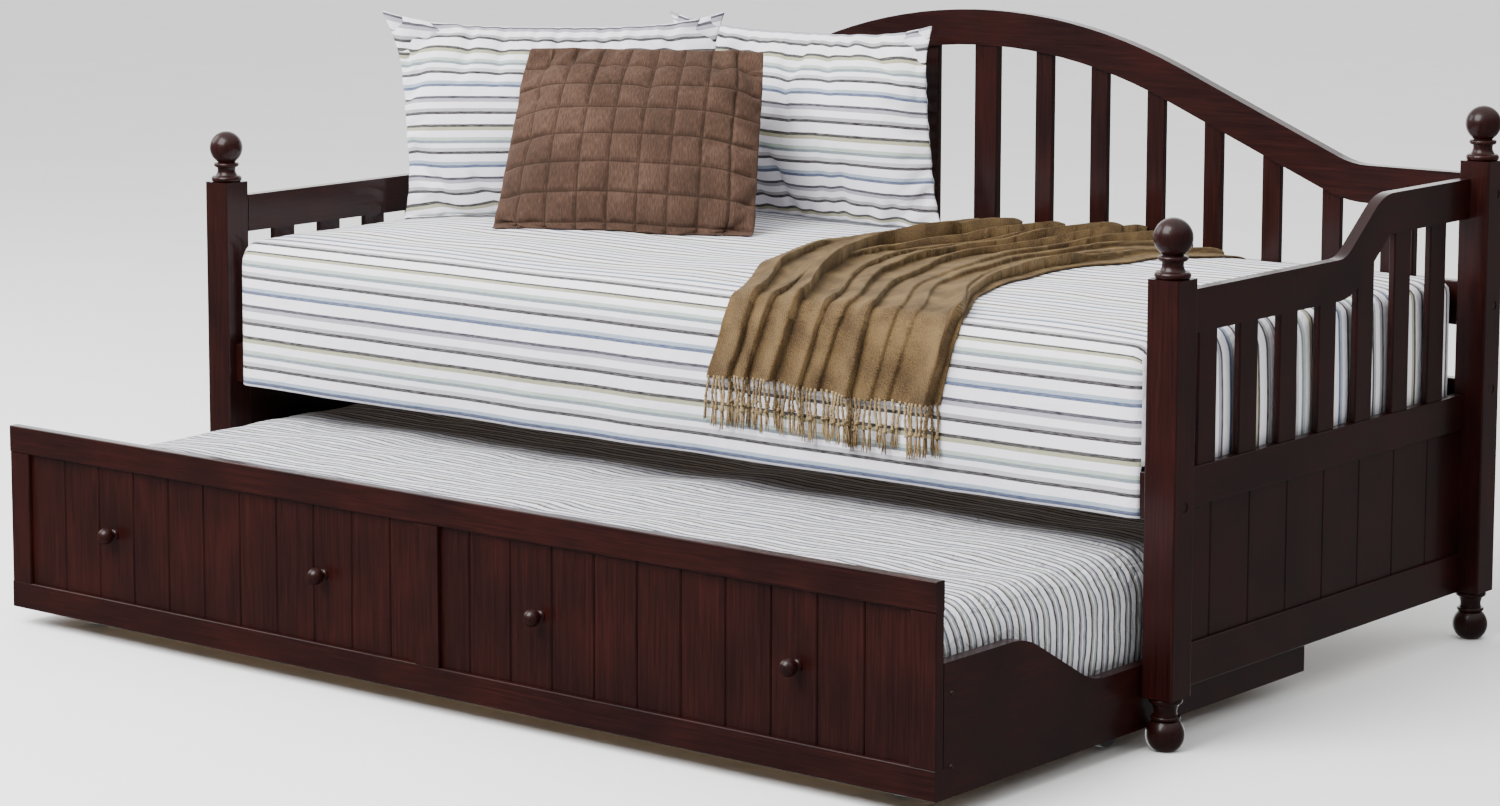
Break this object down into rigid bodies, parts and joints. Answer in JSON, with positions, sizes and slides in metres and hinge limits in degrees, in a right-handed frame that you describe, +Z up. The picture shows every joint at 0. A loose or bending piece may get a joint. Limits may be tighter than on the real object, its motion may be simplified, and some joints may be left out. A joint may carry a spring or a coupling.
{
  "type": "trundle bed",
  "caption": "Slatted wooden daybed with an arched back, ball finials and bun feet, made up with bedding, and a castored trundle with a grooved, knobbed front that rolls out from under it.",
  "frame": {"origin": "on the floor under the middle of the daybed's four posts", "axes": "+Z up, +X along the bed's length, -Y towards the open front that the trundle rolls out of"},
  "size_m": [2.085, 1.5685, 1.0268],
  "materials": {
    "wood_dark": "satin lacquer",
    "wood_pale": "planed",
    "bolt_steel": "zinc plated",
    "fork_steel": "zinc plated",
    "castor_plastic": "moulded",
    "ticking": "woven",
    "striped_cotton": "woven, striped",
    "striped_sheet": "woven, striped",
    "quilted_velvet": "quilted velvet",
    "throw_wool": "woven wool, fringed"
  },
  "bodies": {
    "daybed": {"post_front_left": "wood_dark", "finial_front_left": "wood_dark", "post_front_right": "wood_dark", "finial_front_right": "wood_dark", "post_rear_left": "wood_dark", "finial_rear_left": "wood_dark", "post_rear_right": "wood_dark", "finial_rear_right": "wood_dark", "arm_top_rail_left": "wood_dark", "arm_middle_rail_left": "wood_dark", "arm_bottom_rail_left": "wood_dark", "arm_slats_left": "wood_dark", "arm_panel_left": "wood_dark", "arm_top_rail_right": "wood_dark", "arm_middle_rail_right": "wood_dark", "arm_bottom_rail_right": "wood_dark", "arm_slats_right": "wood_dark", "arm_panel_right": "wood_dark", "back_arch_rail": "wood_dark", "back_lower_rail": "wood_dark", "back_bed_rail": "wood_dark", "back_centre_stile": "wood_dark", "back_spindles_left": "wood_dark", "back_spindles_right": "wood_dark", "front_bed_rail": "wood_dark", "slat_ledge_front": "wood_dark", "slat_ledge_rear": "wood_dark", "bed_slats": "wood_pale", "frame_bolts": "bolt_steel", "mattress_top": "ticking", "bed_cover": "striped_cotton", "pillow_left": "striped_cotton", "pillow_right": "striped_cotton", "quilted_cushion": "quilted_velvet", "throw_blanket": "throw_wool"},
    "trundle": {"trundle_front_bottom_rail": "wood_dark", "trundle_front_top_rail": "wood_dark", "trundle_front_stile_left": "wood_dark", "trundle_front_stile_right": "wood_dark", "trundle_front_mullion": "wood_dark", "trundle_front_panel": "wood_dark", "trundle_side_left": "wood_dark", "trundle_side_right": "wood_dark", "trundle_rear_rail": "wood_dark", "knob_1": "wood_dark", "knob_2": "wood_dark", "knob_3": "wood_dark", "knob_4": "wood_dark", "trundle_bearer_front": "wood_pale", "trundle_bearer_middle": "wood_pale", "trundle_bearer_rear": "wood_pale", "trundle_deck_slats": "wood_pale", "castor_forks": "fork_steel", "mattress_trundle": "striped_sheet"},
    "wheel_front_left": {"castor_wheel_front_left": "castor_plastic"},
    "wheel_middle_left": {"castor_wheel_middle_left": "castor_plastic"},
    "wheel_rear_left": {"castor_wheel_rear_left": "castor_plastic"},
    "wheel_front_right": {"castor_wheel_front_right": "castor_plastic"},
    "wheel_middle_right": {"castor_wheel_middle_right": "castor_plastic"},
    "wheel_rear_right": {"castor_wheel_rear_right": "castor_plastic"}
  },
  "joints": [
    {"name": "trundle_slide", "type": "slide", "parent": "daybed", "child": "trundle", "axis": [0, -1, 0], "range_m": [-0.524, 0.5]},
    {"name": "wheel_front_left_turn", "type": "hinge", "parent": "trundle", "child": "wheel_front_left", "pos_m": [-0.8605, -0.94, 0.03], "axis": [1, 0, 0], "continuous": true},
    {"name": "wheel_middle_left_turn", "type": "hinge", "parent": "trundle", "child": "wheel_middle_left", "pos_m": [-0.9305, -0.525, 0.03], "axis": [1, 0, 0], "continuous": true},
    {"name": "wheel_rear_left_turn", "type": "hinge", "parent": "trundle", "child": "wheel_rear_left", "pos_m": [-0.8605, -0.11, 0.03], "axis": [1, 0, 0], "continuous": true},
    {"name": "wheel_front_right_turn", "type": "hinge", "parent": "trundle", "child": "wheel_front_right", "pos_m": [0.8605, -0.94, 0.03], "axis": [1, 0, 0], "continuous": true},
    {"name": "wheel_middle_right_turn", "type": "hinge", "parent": "trundle", "child": "wheel_middle_right", "pos_m": [0.9305, -0.525, 0.03], "axis": [1, 0, 0], "continuous": true},
    {"name": "wheel_rear_right_turn", "type": "hinge", "parent": "trundle", "child": "wheel_rear_right", "pos_m": [0.8605, -0.11, 0.03], "axis": [1, 0, 0], "continuous": true}
  ],
  "couplings": [
    {"joint": "wheel_front_left_turn", "follows": "trundle_slide", "rad_per_m": 33.333},
    {"joint": "wheel_middle_left_turn", "follows": "trundle_slide", "rad_per_m": 33.333},
    {"joint": "wheel_rear_left_turn", "follows": "trundle_slide", "rad_per_m": 33.333},
    {"joint": "wheel_front_right_turn", "follows": "trundle_slide", "rad_per_m": 33.333},
    {"joint": "wheel_middle_right_turn", "follows": "trundle_slide", "rad_per_m": 33.333},
    {"joint": "wheel_rear_right_turn", "follows": "trundle_slide", "rad_per_m": 33.333}
  ]
}
